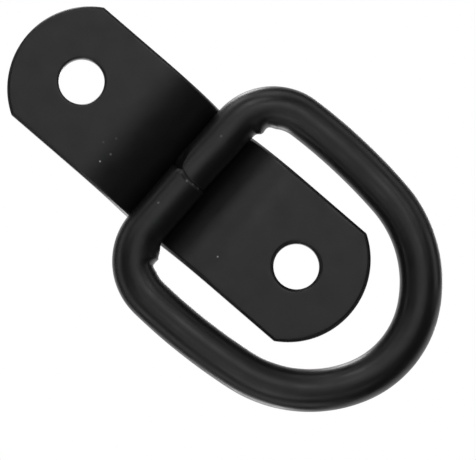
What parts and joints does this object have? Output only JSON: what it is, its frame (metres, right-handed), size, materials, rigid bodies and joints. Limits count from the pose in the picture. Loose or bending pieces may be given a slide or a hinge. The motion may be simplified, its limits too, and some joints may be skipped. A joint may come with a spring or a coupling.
{
  "type": "bolt on d ring tie down",
  "caption": "Folded steel strap with a bolt hole in each ear and a humped middle that hinges a D-shaped lashing ring of round rod.",
  "frame": {"origin": "on the mounting plane, midway between the two bolt holes", "axes": "+X along the strap towards the ear that the resting ring surrounds, +Z away from the surface that the strap is bolted to, Y along the ring's bar"},
  "size_m": [0.0911, 0.0508, 0.0113],
  "materials": {
    "strap_coat": "satin black coating on steel",
    "ring_coat": "satin black coating on steel"
  },
  "bodies": {
    "strap": {"mounting_strap": "strap_coat"},
    "ring": {"d_ring": "ring_coat"}
  },
  "joints": [
    {"name": "ring_swing", "type": "hinge", "parent": "strap", "child": "ring", "pos_m": [0.00035, 0, 0.004], "axis": [0, -1, 0], "range_deg": [0, 180]}
  ]
}
